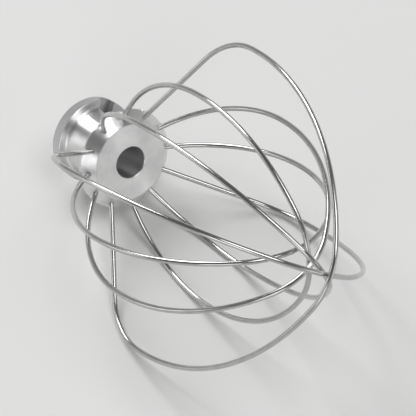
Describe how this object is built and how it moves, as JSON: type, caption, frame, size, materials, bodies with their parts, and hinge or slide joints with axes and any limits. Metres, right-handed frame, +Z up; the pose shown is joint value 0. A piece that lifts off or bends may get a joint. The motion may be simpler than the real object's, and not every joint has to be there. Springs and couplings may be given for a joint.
{
  "type": "stand mixer wire whisk",
  "caption": "Wire whisk for a stand mixer: a turned metal hub with a drive bore and bayonet slot carries bent wire loops that cross at the tip.",
  "frame": {"origin": "middle of the drive bore, on the hub's axis", "axes": "+Z up, with the whisk lying on its collar and two wire shoulders; +X along the floor from the collar towards the tip, so the hub's axis rises along +X in the XZ plane"},
  "size_m": [0.1525, 0.0901, 0.0966],
  "materials": {
    "hub_metal": "bright turned, with fine rings from the tool",
    "wire": "polished stainless wire with fine drawing marks"
  },
  "bodies": {
    "root": {"hub": "hub_metal", "wire_loop_1": "wire", "wire_loop_2": "wire", "wire_loop_3": "wire", "wire_loop_4": "wire", "wire_loop_5": "wire", "wire_loop_6": "wire"}
  },
  "joints": []
}
